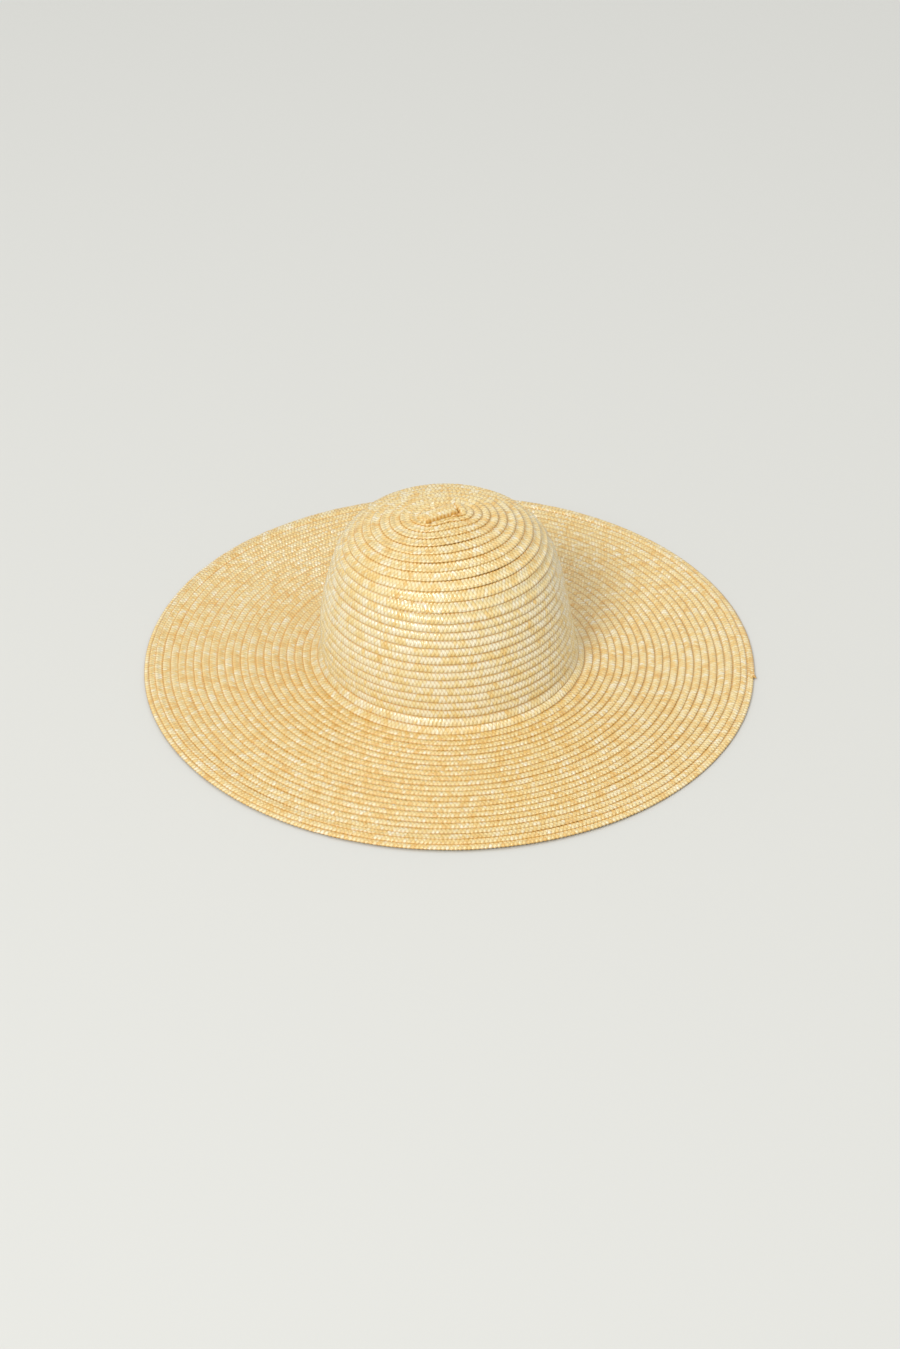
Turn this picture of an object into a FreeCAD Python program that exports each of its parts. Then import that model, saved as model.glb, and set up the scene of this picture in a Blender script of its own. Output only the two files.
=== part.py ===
import FreeCAD, Part
import math
import os
import Sketcher

# Round-crowned, wide-brimmed sun hat, sewn in a spiral from flat straw braid.
# The hat stands on its brim: +Z is up, the origin is on the floor under the
# centre of the crown, -Y is the front.  Every shell is a full turn of one
# section, two layers of braid thick.  Each length of braid laps over the next
# one outward, as roof tiles do.

doc = FreeCAD.newDocument("StrawSunHat")

# ---------------------------------------------------------------- sizes
# Lengths in millimetres, slopes in degrees from the horizontal.

SIZES = {
    # the hat as a whole
    "brim_radius": 220.0,
    "hat_height": 123.6,
    # the crown's outer line, from the tip down: four arcs, each tangent to the next
    "dome_radius": 138.0,
    "dome_slope": 24.0,
    "shoulder_radius": 41.5,
    "shoulder_slope": 71.5,
    "wall_radius": 266.0,
    "wall_slope": 87.2,
    "fillet_radius": 10.5,
    # the brim droops a little: one wide arc from the crown to the edge
    "brim_arc_radius": 2015.0,
    # straw braid and how its rows lap
    "shell_thickness": 2.0,
    "lap_gap": 0.1,
    "row_pitch_crown": 6.1,
    "row_pitch_brim": 5.62,
    "edge_band": 8.0,
    "edge_lap": 4.0,
    # the braid's folded start, lying on the tip
    "bar_length": 28.0,
    "bar_width": 7.2,
    "bar_thickness": 1.4,
    "bar_turn": 28.0,
    "bar_along": -5.9,
    "bar_aside": -3.5,
    # chain-stitch thread
    "thread_radius": 0.25,
    "thread_gap": 0.05,
    # grosgrain sweatband and what holds it
    "sweatband_radius": 87.9,
    "sweatband_thickness": 0.55,
    "sweatband_low": 10.0,
    "sweatband_width": 22.0,
    "stitch_count": 60,
    "stitch_sweep": 3.0,
    # blank fabric tab above the sweatband, at the back
    "tab_thickness": 0.4,
    "tab_low_slope": 83.4,
    "tab_high_slope": 80.6,
    "tab_sweep": 16.0,
}

sizes = doc.addObject("Spreadsheet::Sheet", "Sizes")
for row, (alias, value) in enumerate(SIZES.items(), start=1):
    sizes.set(f"A{row}", str(value))
    sizes.setAlias(f"A{row}", alias)
doc.recompute()


def size(alias):
    """The expression that reads one driving dimension."""
    return f"Sizes.{alias}"


def number(expression):
    """What an expression is worth now."""
    return float(sizes.evalExpression(expression))


# ------------------------------------------------- points of the outline
# A point is a pair of expressions: distance from the hat's axis, and height.


def polar(centre, radius, slope):
    """The point `radius` away from `centre`, where a circle has that slope."""
    return (
        f"{centre[0]} + ({radius}) * sin({slope})",
        f"{centre[1]} + ({radius}) * cos({slope})",
    )


def above(centre, radius, out):
    """The point of an arc that is `out` away from the hat's axis."""
    return (out, f"{centre[1]} + sqrt(({radius})^2 - ({out} - ({centre[0]}))^2)")


THICKNESS = size("shell_thickness")
HALF_LAYER = f"{THICKNESS} / 2 + {size('lap_gap')} / 2"
HALF_CUT = f"{THICKNESS} / 2 - {size('lap_gap')} / 2"

DOME = size("dome_radius")
SHOULDER = size("shoulder_radius")
WALL = size("wall_radius")
FILLET = size("fillet_radius")
BRIM = size("brim_arc_radius")

DOME_SLOPE = size("dome_slope")
SHOULDER_SLOPE = size("shoulder_slope")
WALL_SLOPE = size("wall_slope")

dome_centre = ("0", f"{size('hat_height')} - {DOME}")
dome_end = polar(dome_centre, DOME, DOME_SLOPE)
shoulder_centre = polar(dome_end, f"-{SHOULDER}", DOME_SLOPE)
shoulder_end = polar(shoulder_centre, SHOULDER, SHOULDER_SLOPE)
wall_centre = polar(shoulder_end, f"-{WALL}", SHOULDER_SLOPE)
wall_end = polar(wall_centre, WALL, WALL_SLOPE)
fillet_centre = polar(wall_end, FILLET, WALL_SLOPE)
fillet_end = polar(fillet_centre, f"-{FILLET}", "0")
brim_centre = polar(fillet_end, f"-{BRIM}", "0")


def row_slope(radius, pitch, rows=1):
    """How far the slope turns, on an arc, over a number of braid rows."""
    return f"({rows} * {pitch} / ({radius}) * 180 / {math.pi})"


CROWN_PITCH = size("row_pitch_crown")
BRIM_PITCH = size("row_pitch_brim")
WALL_LAP = row_slope(WALL, CROWN_PITCH)
WALL_GAP = row_slope(WALL, size("lap_gap"))
BRIM_LAP = row_slope(BRIM, BRIM_PITCH)
BRIM_GAP = row_slope(BRIM, size("lap_gap"))


# ---------------------------------------------------------------- sections


def origin_feature(body, role):
    for feature in body.Origin.OriginFeatures:
        if feature.Role == role:
            return feature
    raise ValueError(role)


def bind(sketch, constraint, name, expression):
    """Add a constraint, name it and let the spreadsheet drive it."""
    index = sketch.addConstraint(constraint)
    sketch.renameConstraint(index, name)
    sketch.setExpression(f"Constraints.{name}", expression)


def section(body, corners, arcs):
    """A closed, fully constrained section.

    corners holds the points in order.  arcs maps the number of the corner
    where an arc begins to its (centre, radius); all other edges are straight.
    """
    sketch = body.newObject("Sketcher::SketchObject", f"{body.Name}_section")
    sketch.AttachmentSupport = [(origin_feature(body, "XZ_Plane"), "")]
    sketch.MapMode = "FlatFace"
    places = [(number(out), number(up)) for out, up in corners]
    starts = []
    ends = []
    for i, here in enumerate(places):
        there = places[(i + 1) % len(places)]
        if i not in arcs:
            line = Part.LineSegment(FreeCAD.Vector(*here, 0), FreeCAD.Vector(*there, 0))
            edge = sketch.addGeometry(line)
            starts.append((edge, 1))
            ends.append((edge, 2))
            continue
        centre = FreeCAD.Vector(number(arcs[i][0][0]), number(arcs[i][0][1]), 0)
        circle = Part.Circle(centre, FreeCAD.Vector(0, 0, 1), number(arcs[i][1]))
        first = math.atan2(here[1] - centre.y, here[0] - centre.x)
        last = math.atan2(there[1] - centre.y, there[0] - centre.x)
        if first < last:
            edge = sketch.addGeometry(Part.ArcOfCircle(circle, first, last))
            starts.append((edge, 1))
            ends.append((edge, 2))
        else:
            edge = sketch.addGeometry(Part.ArcOfCircle(circle, last, first))
            starts.append((edge, 2))
            ends.append((edge, 1))
    for i, (out, up) in enumerate(corners):
        follows = starts[(i + 1) % len(starts)]
        sketch.addConstraint(Sketcher.Constraint("Coincident", *ends[i], *follows))
        if places[i][0] == 0:
            sketch.addConstraint(Sketcher.Constraint("PointOnObject", *starts[i], -2))
        else:
            across = Sketcher.Constraint("DistanceX", -1, 1, *starts[i], places[i][0])
            bind(sketch, across, f"out_{i}", out)
        if places[i][1] == 0:
            sketch.addConstraint(Sketcher.Constraint("PointOnObject", *starts[i], -1))
        else:
            upward = Sketcher.Constraint("DistanceY", -1, 1, *starts[i], places[i][1])
            bind(sketch, upward, f"up_{i}", up)
        if i in arcs:
            bend = Sketcher.Constraint("Radius", starts[i][0], number(arcs[i][1]))
            bind(sketch, bend, f"radius_{i}", arcs[i][1])
    sketch.Visibility = False
    return sketch


def turned(label, corners, arcs, sweep="360"):
    """A body made by turning one section about the hat's axis."""
    body = doc.addObject("PartDesign::Body", label)
    body.Label = label
    sketch = section(body, corners, arcs)
    turn = body.newObject("PartDesign::Revolution", f"{label}_turn")
    turn.Profile = sketch
    turn.ReferenceAxis = (sketch, ["V_Axis"])
    turn.setExpression("Angle", sweep)
    return body


# ---------------------------------------------------------------- braid


def crown_tip_braid():
    """First length of braid: dome and shoulder, lapped over the wall below."""
    upper = f"{WALL} - ({HALF_CUT})"
    lap_slope = f"{SHOULDER_SLOPE} + {WALL_LAP}"
    corners = [
        polar(dome_centre, DOME, "0"),
        dome_end,
        shoulder_end,
        polar(wall_centre, WALL, lap_slope),
        polar(wall_centre, upper, lap_slope),
        polar(wall_centre, upper, SHOULDER_SLOPE),
        polar(shoulder_centre, f"{SHOULDER} - {THICKNESS}", SHOULDER_SLOPE),
        polar(shoulder_centre, f"{SHOULDER} - {THICKNESS}", DOME_SLOPE),
        polar(dome_centre, f"{DOME} - {THICKNESS}", "0"),
    ]
    arcs = {
        0: (dome_centre, DOME),
        1: (shoulder_centre, SHOULDER),
        2: (wall_centre, WALL),
        4: (wall_centre, upper),
        6: (shoulder_centre, f"{SHOULDER} - {THICKNESS}"),
        7: (dome_centre, f"{DOME} - {THICKNESS}"),
    }
    return turned("crown_tip_braid", corners, arcs)


def crown_side_braid():
    """Second length: the wall, and the turn outward over the brim's first row."""
    top_slope = f"{SHOULDER_SLOPE} + {WALL_GAP}"
    lap_slope = f"{SHOULDER_SLOPE} + {WALL_LAP} + {WALL_GAP}"
    under_tip = f"{WALL} - ({HALF_LAYER})"
    over_brim = f"{BRIM} - ({HALF_CUT})"
    inner = f"{WALL} - {THICKNESS}"
    corners = [
        polar(wall_centre, WALL, lap_slope),
        wall_end,
        fillet_end,
        polar(brim_centre, BRIM, BRIM_LAP),
        polar(brim_centre, over_brim, BRIM_LAP),
        polar(brim_centre, over_brim, "0"),
        polar(brim_centre, f"{BRIM} - {THICKNESS}", "0"),
        polar(wall_centre, inner, WALL_SLOPE),
        polar(wall_centre, inner, top_slope),
        polar(wall_centre, under_tip, top_slope),
        polar(wall_centre, under_tip, lap_slope),
    ]
    arcs = {
        0: (wall_centre, WALL),
        1: (fillet_centre, FILLET),
        2: (brim_centre, BRIM),
        4: (brim_centre, over_brim),
        6: (fillet_centre, f"{FILLET} + {THICKNESS}"),
        7: (wall_centre, inner),
        9: (wall_centre, under_tip),
    }
    return turned("crown_side_braid", corners, arcs)


EDGE_START = f"({size('brim_radius')} - {size('edge_band')})"
EDGE_LAP_END = f"({size('brim_radius')} - {size('edge_band')} + {size('edge_lap')})"


def brim_braid():
    """Third length: the brim, under the crown's last row and over the edge row."""
    upper = f"{BRIM} - ({HALF_CUT})"
    lower = f"{BRIM} - ({HALF_LAYER})"
    bottom = f"{BRIM} - {THICKNESS}"
    lap_slope = f"{BRIM_LAP} + {BRIM_GAP}"
    corners = [
        polar(brim_centre, BRIM, lap_slope),
        above(brim_centre, BRIM, EDGE_LAP_END),
        above(brim_centre, upper, EDGE_LAP_END),
        above(brim_centre, upper, EDGE_START),
        above(brim_centre, bottom, EDGE_START),
        polar(brim_centre, bottom, BRIM_GAP),
        polar(brim_centre, lower, BRIM_GAP),
        polar(brim_centre, lower, lap_slope),
    ]
    arcs = {
        0: (brim_centre, BRIM),
        2: (brim_centre, upper),
        4: (brim_centre, bottom),
        6: (brim_centre, lower),
    }
    return turned("brim_braid", corners, arcs)


def brim_edge_braid():
    """Finishing row, tucked half under the brim's last one; the hat stands on it."""
    lower = f"{BRIM} - ({HALF_LAYER})"
    start = f"({EDGE_START} + {size('lap_gap')})"
    lap_end = f"({EDGE_LAP_END} + {size('lap_gap')})"
    corners = [
        above(brim_centre, BRIM, lap_end),
        above(brim_centre, BRIM, size("brim_radius")),
        (size("brim_radius"), "0"),
        (start, "0"),
        above(brim_centre, lower, start),
        above(brim_centre, lower, lap_end),
    ]
    arcs = {
        0: (brim_centre, BRIM),
        4: (brim_centre, lower),
    }
    return turned("brim_edge_braid", corners, arcs)


def tip_start_bar():
    """The braid's first stretch, folded into a straight bar on the tip."""
    floor = doc.addObject("Part::Sphere", "bar_floor")
    floor.setExpression("Radius", f"{DOME} + {size('thread_gap')}")
    roof = doc.addObject("Part::Sphere", "bar_roof")
    roof.setExpression("Radius", f"{DOME} + {size('thread_gap')} + {size('bar_thickness')}")
    for ball in (floor, roof):
        ball.setExpression("Placement.Base.z", dome_centre[1])
    layer = doc.addObject("Part::Cut", "bar_layer")
    layer.Base = roof
    layer.Tool = floor
    strip = doc.addObject("Part::Box", "bar_strip")
    strip.setExpression("Length", size("bar_length"))
    strip.setExpression("Width", size("bar_width"))
    strip.setExpression("Height", DOME)
    strip.setExpression("Placement.Base.x", f"{size('bar_along')} - {size('bar_length')} / 2")
    strip.setExpression("Placement.Base.y", f"{size('bar_aside')} - {size('bar_width')} / 2")
    bar = doc.addObject("Part::Common", "tip_start_bar")
    bar.Label = "tip_start_bar"
    bar.Base = layer
    bar.Tool = strip
    bar.Placement = FreeCAD.Placement(
        FreeCAD.Vector(0, 0, 0), FreeCAD.Rotation(FreeCAD.Vector(0, 0, 1), 1)
    )
    bar.setExpression("Placement.Rotation.Angle", size("bar_turn"))
    return bar


# ---------------------------------------------------------------- thread


def thread_ring(name, place):
    """One closed turn of the chain stitch, at a point of the outline."""
    ring = doc.addObject("Part::Torus", name)
    ring.setExpression("Radius1", place[0])
    ring.setExpression("Radius2", size("thread_radius"))
    ring.setExpression("Placement.Base.z", place[1])
    return ring


def thread_group(label, places):
    """The turns of thread in one length of braid, as one node."""
    rings = [thread_ring(f"{label}_ring_{i}", place) for i, place in enumerate(places)]
    group = doc.addObject("Part::Compound", label)
    group.Label = label
    group.Links = rings
    return group


def stations(centre, radius, surface, pitch, first_slope, last_slope, first=0.5):
    """Points one row apart along an arc, moved to another radius, `surface`."""
    span = math.radians(number(last_slope) - number(first_slope)) * number(radius)
    rows = int(span / number(pitch) - first) + 1
    steps = [row_slope(radius, pitch, first + i) for i in range(rows)]
    return [polar(centre, surface, f"{first_slope} + {step}") for step in steps]


UNDER = f"({THICKNESS} + {size('thread_radius')} + {size('thread_gap')})"


def crown_tip_thread():
    dome = stations(dome_centre, DOME, f"{DOME} - {UNDER}", CROWN_PITCH, "0", DOME_SLOPE, 1)
    shoulder = stations(
        shoulder_centre, SHOULDER, f"{SHOULDER} - {UNDER}", CROWN_PITCH, DOME_SLOPE, SHOULDER_SLOPE
    )
    return thread_group("crown_tip_thread", dome + shoulder)


def crown_side_thread():
    last = f"({WALL_SLOPE} - {row_slope(WALL, CROWN_PITCH, 0.5)})"
    wall = stations(
        wall_centre, WALL, f"{WALL} - {UNDER}", CROWN_PITCH, SHOULDER_SLOPE, last, first=1.5
    )
    return thread_group("crown_side_thread", wall)


def brim_thread():
    """Turns under the brim, from one row past the crown to one before the edge."""
    inner = number(fillet_end[0]) + 2 * number(BRIM_PITCH)
    outer = number(EDGE_START) - number(BRIM_PITCH) / 2
    rows = int((outer - inner) / number(BRIM_PITCH)) + 1
    outs = [f"({fillet_end[0]} + {i + 2} * {BRIM_PITCH})" for i in range(rows)]
    return thread_group("brim_thread", [above(brim_centre, f"{BRIM} - {UNDER}", out) for out in outs])


def brim_edge_thread():
    """Two close turns on top of the doubled edge row."""
    on_top = f"{BRIM} + {size('thread_radius')} + {size('thread_gap')}"
    outs = [f"({EDGE_START} + {share} * {size('edge_band')})" for share in (0.3, 0.7)]
    return thread_group("brim_edge_thread", [above(brim_centre, on_top, out) for out in outs])


# ---------------------------------------------------------------- lining


def sweatband():
    """Grosgrain ribbon standing inside the crown at the head line."""
    inner = size("sweatband_radius")
    outer = f"{size('sweatband_radius')} + {size('sweatband_thickness')}"
    low = size("sweatband_low")
    high = f"{size('sweatband_low')} + {size('sweatband_width')}"
    corners = [(inner, low), (outer, low), (outer, high), (inner, high)]
    return turned("sweatband", corners, {})


def sweatband_stitches():
    """Running stitches behind the ribbon's lower edge, one short arc each."""
    out = (
        f"{size('sweatband_radius')} + {size('sweatband_thickness')}"
        f" + {size('thread_radius')} + {size('thread_gap')}"
    )
    stitches = []
    for i in range(SIZES["stitch_count"]):
        stitch = doc.addObject("Part::Torus", f"sweatband_stitch_{i}")
        stitch.setExpression("Radius1", out)
        stitch.setExpression("Radius2", size("thread_radius"))
        stitch.setExpression("Angle3", size("stitch_sweep"))
        stitch.Placement = FreeCAD.Placement(
            FreeCAD.Vector(0, 0, 0), FreeCAD.Rotation(FreeCAD.Vector(0, 0, 1), i + 1)
        )
        stitch.setExpression("Placement.Base.z", f"{size('sweatband_low')} + 8 * {size('thread_radius')}")
        stitch.setExpression("Placement.Rotation.Angle", f"{i} * 360 / {size('stitch_count')}")
        stitches.append(stitch)
    group = doc.addObject("Part::Compound", "sweatband_stitches")
    group.Label = "sweatband_stitches"
    group.Links = stitches
    return group


def size_tab():
    """Blank woven tab on the crown wall, just above the ribbon at the back."""
    outer = f"{WALL} - {THICKNESS} - {size('lap_gap')}"
    inner = f"{outer} - {size('tab_thickness')}"
    low = size("tab_low_slope")
    high = size("tab_high_slope")
    corners = [
        polar(wall_centre, outer, high),
        polar(wall_centre, outer, low),
        polar(wall_centre, inner, low),
        polar(wall_centre, inner, high),
    ]
    arcs = {0: (wall_centre, outer), 2: (wall_centre, inner)}
    tab = turned("size_tab", corners, arcs, size("tab_sweep"))
    tab.Placement = FreeCAD.Placement(
        FreeCAD.Vector(0, 0, 0), FreeCAD.Rotation(FreeCAD.Vector(0, 0, 1), 1)
    )
    tab.setExpression("Placement.Rotation.Angle", f"90 - {size('tab_sweep')} / 2")
    return tab


# ---------------------------------------------------------------- build

nodes = [
    tip_start_bar(),
    crown_tip_braid(),
    crown_side_braid(),
    brim_braid(),
    brim_edge_braid(),
    crown_tip_thread(),
    crown_side_thread(),
    brim_thread(),
    brim_edge_thread(),
    sweatband(),
    sweatband_stitches(),
    size_tab(),
]
doc.recompute()

for item in doc.Objects:
    if "Invalid" in item.State or "Error" in item.State:
        raise RuntimeError(f"{item.Name} didn't recompute: {item.State}")

os.makedirs("parts", exist_ok=True)
for node in nodes:
    if node.Shape.isNull() or not node.Shape.isValid():
        raise RuntimeError(f"{node.Label} has no sound shape")
    node.Shape.exportStep(f"parts/{node.Label}.step")
    box = node.Shape.BoundBox
    print(
        f"{node.Label:20s} solids {len(node.Shape.Solids):3d}"
        f"  z {box.ZMin:8.3f} to {box.ZMax:8.3f}  x {box.XMin:8.2f} to {box.XMax:8.2f}"
        f"  volume {node.Shape.Volume:10.1f}"
    )
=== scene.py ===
# %% [markdown]
# # A sun hat sewn from straw braid
#
# The real hat is one long ribbon of plaited wheat straw. It starts at the tip of the
# crown, goes round and round, and every turn is stitched a few millimetres under the
# edge of the turn before it, as roof tiles lap. Nothing else gives it its shape, so
# this lesson builds it the same way: first the outline of the hat, then the path of the
# spiral on it, then the ribbon that follows the path, straw by straw.

# %% Load the frame
import math

import bpy
import numpy as np
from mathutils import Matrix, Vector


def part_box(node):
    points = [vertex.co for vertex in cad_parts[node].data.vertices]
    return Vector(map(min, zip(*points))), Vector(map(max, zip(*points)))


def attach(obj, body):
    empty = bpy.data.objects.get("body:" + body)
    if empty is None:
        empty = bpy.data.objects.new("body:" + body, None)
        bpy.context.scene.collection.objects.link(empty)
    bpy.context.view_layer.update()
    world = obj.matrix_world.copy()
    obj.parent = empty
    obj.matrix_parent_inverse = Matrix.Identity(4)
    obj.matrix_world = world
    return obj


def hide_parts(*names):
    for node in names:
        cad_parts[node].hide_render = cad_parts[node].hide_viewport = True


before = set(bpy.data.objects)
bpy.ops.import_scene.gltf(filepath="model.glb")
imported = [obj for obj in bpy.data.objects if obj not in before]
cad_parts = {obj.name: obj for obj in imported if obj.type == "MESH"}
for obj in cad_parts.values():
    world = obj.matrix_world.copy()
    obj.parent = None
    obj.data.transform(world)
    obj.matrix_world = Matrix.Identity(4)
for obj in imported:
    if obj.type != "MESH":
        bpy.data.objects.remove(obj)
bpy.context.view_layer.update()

# %% [markdown]
# ## The outline
#
# A hat block is turned on a lathe from a few arcs, and the CAD shells are too. The
# easiest way to follow tangent arcs is to say how steep the line is at each distance
# from the tip: along an arc the slope grows evenly, so slope against distance is a row
# of straight lines. Adding up the cosines and sines of the slope gives the radius and
# the drop.

# %% Outline of the block
MM = 0.001
ARC_RADII = {"dome": 138 * MM, "shoulder": 41.5 * MM, "wall": 266 * MM, "fillet": 10.5 * MM}
SLOPE_AFTER = {"dome": 24.0, "shoulder": 71.5, "wall": 87.2, "fillet": 0.0}
BRIM_ARC = 2.015
SHELL = 2.0 * MM

hat_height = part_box("crown_tip_braid")[1].z
brim_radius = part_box("brim_edge_braid")[1].x

knots = [0.0]
slopes = [0.0]
for name, radius in ARC_RADII.items():
    turned = abs(math.radians(SLOPE_AFTER[name]) - slopes[-1])
    knots.append(knots[-1] + radius * turned)
    slopes.append(math.radians(SLOPE_AFTER[name]))
TIP_END, SIDE_END = knots[2], knots[4]
knots.append(SIDE_END + 0.15)
slopes.append(0.15 / BRIM_ARC)

STEP = 0.05 * MM
run = np.arange(0.0, knots[-1], STEP)
run_slope = np.interp(run, knots, slopes)
run_out = np.concatenate([[0.0], np.cumsum(np.cos(run_slope[:-1]) * STEP)])
run_up = hat_height - np.concatenate([[0.0], np.cumsum(np.sin(run_slope[:-1]) * STEP)])
EDGE = float(np.interp(brim_radius, run_out[run > SIDE_END], run[run > SIDE_END]))
print(f"outline: {EDGE * 1000:.1f} mm from the tip to the edge of the brim")


def on_block(azimuth, distance, lift):
    """Points on the hat.

    Radius and height come from the outline at that distance from the tip. The point is
    then moved by `lift` along the outward normal, which is (sin slope, cos slope) in
    the plane of the outline, and turned to its azimuth.
    """
    slope = np.interp(distance, knots, slopes)
    out = np.interp(distance, run, run_out) + lift * np.sin(slope)
    up = np.interp(distance, run, run_up) + lift * np.cos(slope)
    return np.stack([out * np.cos(azimuth), out * np.sin(azimuth), up], -1)


# %% [markdown]
# No straw hat is quite round. The crown has settled a little to one side, and the brim
# is a touch wavy where it lies on the table. A slow bend of all the finished points
# gives both, and every piece goes through it, so they still fit each other.

# %% The hat has been handled
CROWN_LEAN = 3.0 * MM
CROWN_PUFF = 2.0 * MM
BRIM_WAVE = 1.6 * MM


def settle(points):
    """Lean and wave of the whole hat.

    The lean moves points to -X by a share that grows from 0 at the brim to 1 at a
    third of the height. The wave lifts them by (1 - sin azimuth) / 2, so the front of
    the brim most, and a small five-fold ripple, times the square of the way out.
    """
    x, y, z = np.moveaxis(points, -1, 0)
    azimuth = np.arctan2(y, x)
    reach = np.clip((np.hypot(x, y) - 0.1) / (brim_radius - 0.1), 0, 1.1) ** 2
    wave = 0.5 * (1 - np.sin(azimuth)) + 0.12 * (1 + np.cos(5 * azimuth + 0.6))
    lean = np.clip((z - 6 * MM) / (hat_height / 3), 0, 1)
    lean = lean * lean * (3 - 2 * lean)
    lifted = z + BRIM_WAVE * reach * wave + CROWN_PUFF * lean * z / hat_height
    return np.stack([x - CROWN_LEAN * lean, y, lifted], -1)


# %% [markdown]
# ## The path of the braid
#
# The outer edge of the ribbon is what one sees as a line round the hat. On the top of
# the crown the lines are 7.4 mm apart, because the sewer lets the turns overlap less
# where the hat has to curve. On the wall and on the brim they are closer, and in the
# last turns they close up, so that the end runs out into an even edge.

# %% Path of the braid
BRAID_WIDTH = 8.4 * MM
BRAID_THICKNESS = 0.9 * MM
PLAIT = 2.8 * MM
PLAIT_ACROSS = BRAID_WIDTH * 2 / 3

FIRST_LINE = 14.3 * MM
PITCH_TOP, PITCH_WALL, PITCH_BRIM, PITCH_CLOSING = 7.43 * MM, 5.85 * MM, 5.6 * MM, 4.65 * MM
TOP_TURNS, WALL_TURNS, BRIM_TURNS, CLOSING_TURNS = 11, 13, 21, 1.75
FRONT = math.radians(-90)
BAR_DIRECTION = math.radians(28)
LONG_DIRECTION = math.radians(12)

turn_marks = np.cumsum([1, TOP_TURNS, WALL_TURNS, BRIM_TURNS, CLOSING_TURNS])
line_marks = FIRST_LINE + np.cumsum(
    [0, TOP_TURNS * PITCH_TOP, WALL_TURNS * PITCH_WALL, BRIM_TURNS * PITCH_BRIM,
     CLOSING_TURNS * PITCH_CLOSING]
)
START_TURN = -0.28
LAST_STEP = 0.06
END_TURN = turn_marks[-1] + LAST_STEP + 0.96

turns = np.arange(START_TURN, END_TURN + 2.0, 0.002)
lines = np.interp(turns, turn_marks, line_marks)
lines -= np.clip(1 - turns, 0, None) * PITCH_TOP
step_up = np.clip((turns - turn_marks[-1]) / LAST_STEP, 0, 1)
smooth_step = step_up * step_up * (3 - 2 * step_up)
lines += (EDGE - line_marks[-1]) * smooth_step
kernel = np.hanning(301)
kernel /= kernel.sum()
soft = np.convolve(np.pad(lines, 150, mode="reflect", reflect_type="odd"), kernel, "valid")
blend_in = np.clip((turn_marks[-2] - turns) / 2, 0, 1)
lines = blend_in * soft + (1 - blend_in) * lines


def azimuth_of(turn):
    """Whole turns lie on the front; the spiral runs clockwise seen from above."""
    return FRONT - 2 * math.pi * turn


def line_of(turn):
    """Distance of the ribbon's outer edge from the tip, by turn.

    The first turns go round the straight bar, so they are longer along it: an extra
    distance times cos squared of the angle to the long way, which dies away by turn 12. The
    turns on the crown's top are also a little off centre, towards -X.
    """
    stretch = 11.3 * MM * np.clip(1 - turn / 12, 0, 1.05)
    along_bar = np.cos(azimuth_of(turn) - LONG_DIRECTION) ** 2
    off_centre = -3.0 * MM * np.sin(math.pi * np.clip(turn / 12, 0, 1))
    sideways = off_centre * np.cos(azimuth_of(turn))
    return np.interp(turn, turns, lines) + stretch * (along_bar - 0.2) + sideways


path_distance = line_of(turns) - BRAID_WIDTH / 2
path_radius = np.maximum(np.interp(path_distance, run, run_out), 2.5 * MM)
path_length = np.concatenate(
    [[0.0], np.cumsum(2 * math.pi * path_radius[:-1] * np.diff(turns))]
)


def turn_at(length):
    return np.interp(length, path_length, turns)


def length_at(turn):
    return float(np.interp(turn, turns, path_length))


BRAID_LENGTH = length_at(END_TURN)
print(f"braid: {BRAID_LENGTH:.2f} m in {END_TURN:.1f} turns")

# %% [markdown]
# ## Straw by straw
#
# In a plait each straw runs steeply from edge to edge, over and under the others, and
# folds back at the edge. Two sets of slanted lines cut the ribbon into diamonds, 2.8 mm
# along the ribbon and 5.6 mm across it, and in each diamond one of two straws is on
# top. So the height of the plait is a formula of the two slanted coordinates: a crown
# across the straw that is on top, and a dip at the two ends where it goes under.

# %% Height of the plait
rng = np.random.default_rng(11)
JITTER = rng.uniform(-1, 1, (3, 4096))
PLAIT_RELIEF = 0.6 * MM


def chance(i, j, which):
    """A fixed random number in -1 to 1 for diamond (i, j)."""
    mixed = i.astype(np.int64) * 7919 + j.astype(np.int64) * 104729
    return JITTER[which][mixed % JITTER.shape[1]]


def plait_height(length, across):
    """Height of the plait above its lowest notches.

    a and b are the length plus and minus the distance across, each in diamonds. In
    diamond (floor a, floor b) the parity of the sum says which straw is on top. Height
    is a parabola across that straw and a flatter one along it, plus a tilt of its own.
    """
    across = across / PLAIT_ACROSS - 0.5
    a = length / PLAIT + across
    b = length / PLAIT - across
    i, j = np.floor(a), np.floor(b)
    on_top = (i + j) % 2 == 0
    along = np.where(on_top, a - i, b - j)
    over = np.where(on_top, b - j, a - i)
    crown = 1 - (2 * over - 1) ** 2
    dip = 1 - (2 * along - 1) ** 4
    tilt = chance(i, j, 0) * (over - 0.5) * 0.6 + chance(i, j, 1) * (along - 0.5) * 0.8
    return PLAIT_RELIEF * (0.7 * crown + 0.3 * dip + tilt * crown + 0.10 * chance(i, j, 2))


# %% [markdown]
# Hand feeding makes the turns wander. `wander` draws a smooth random line along the
# braid: random values at even spacing, joined by a cosine blend. The same call drives
# how far the ribbon strays sideways, how high it stands and how wide it is.

# %% Wander


def wander(length, spacing, seed):
    """Smooth random line in -1 to 1: values every `spacing`, eased from one to the next."""
    values = np.random.default_rng(seed).uniform(-1, 1, int(BRAID_LENGTH / spacing) + 8)
    place = np.clip(length, 0, None) / spacing
    index = np.floor(place).astype(int)
    ease = (1 - np.cos(math.pi * (place - index))) / 2
    return values[index] * (1 - ease) + values[index + 1] * ease


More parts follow.
